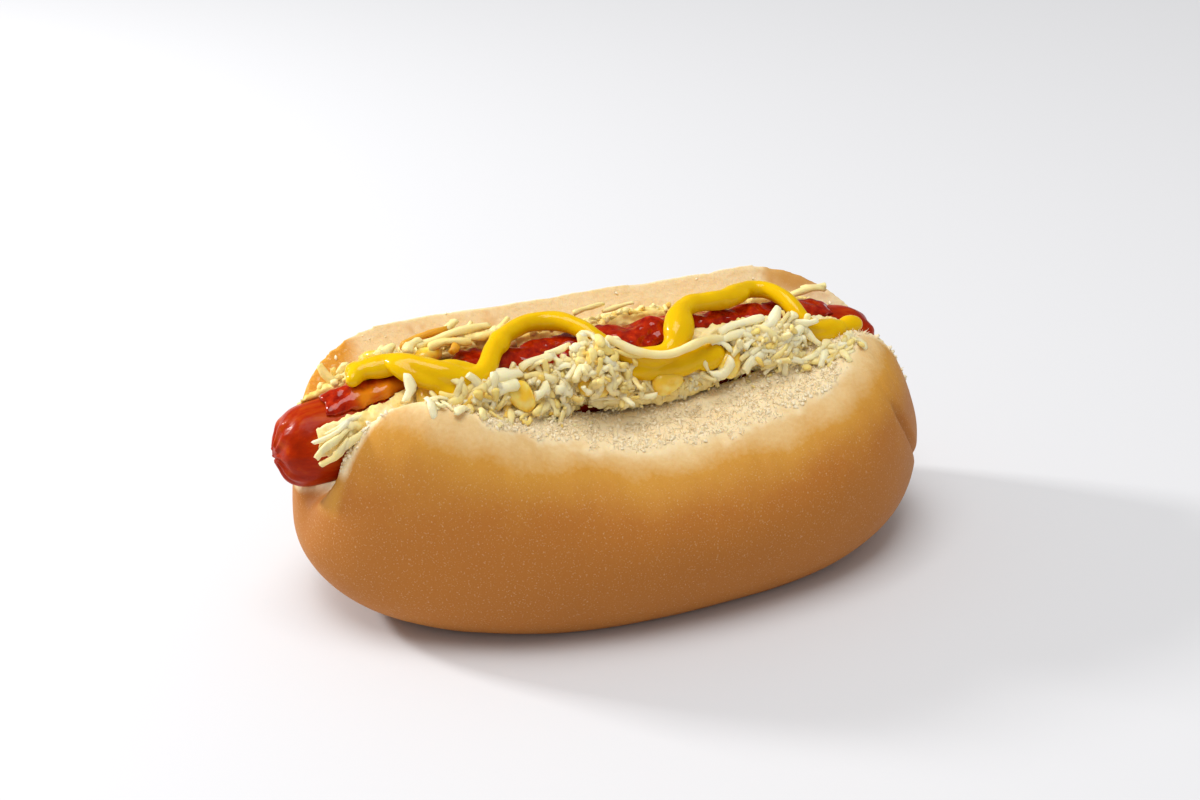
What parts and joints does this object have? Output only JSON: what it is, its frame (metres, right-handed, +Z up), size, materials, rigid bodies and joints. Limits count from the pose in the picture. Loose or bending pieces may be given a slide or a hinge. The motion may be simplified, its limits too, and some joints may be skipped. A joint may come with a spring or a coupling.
{
  "type": "hot dog",
  "caption": "Hot dog: a sausage in a soft, torn-open bun with ketchup, mustard, corn kernels, grated cheese and potato sticks; it rests on its flat underside.",
  "frame": {"origin": "middle of the bounding box's underside, on the surface that the bun rests on", "axes": "+X along the bun and the sausage, -Y towards the lower, opened-out half of the bun, +Z up"},
  "size_m": [0.1666, 0.078, 0.0665],
  "materials": {
    "bun_bread": "soft baked crust, golden brown, with pale torn crumb inside",
    "sausage_skin": "moist glossy sausage skin",
    "ketchup": "wet glossy sauce",
    "mustard": "smooth glossy sauce",
    "cheese": "pale satin grated cheese",
    "potato_sticks": "golden fried potato, slightly oily",
    "corn": "smooth moist kernel skin"
  },
  "bodies": {
    "root": {"bun": "bun_bread", "sausage": "sausage_skin", "ketchup": "ketchup", "mustard": "mustard", "cheese_strand": "cheese", "front_heap": "cheese", "back_heap": "potato_sticks", "corn_kernel_1": "corn", "corn_kernel_2": "corn", "corn_kernel_3": "corn", "corn_kernel_4": "corn", "corn_kernel_5": "corn", "corn_kernel_6": "corn", "corn_kernel_7": "corn"}
  },
  "joints": []
}
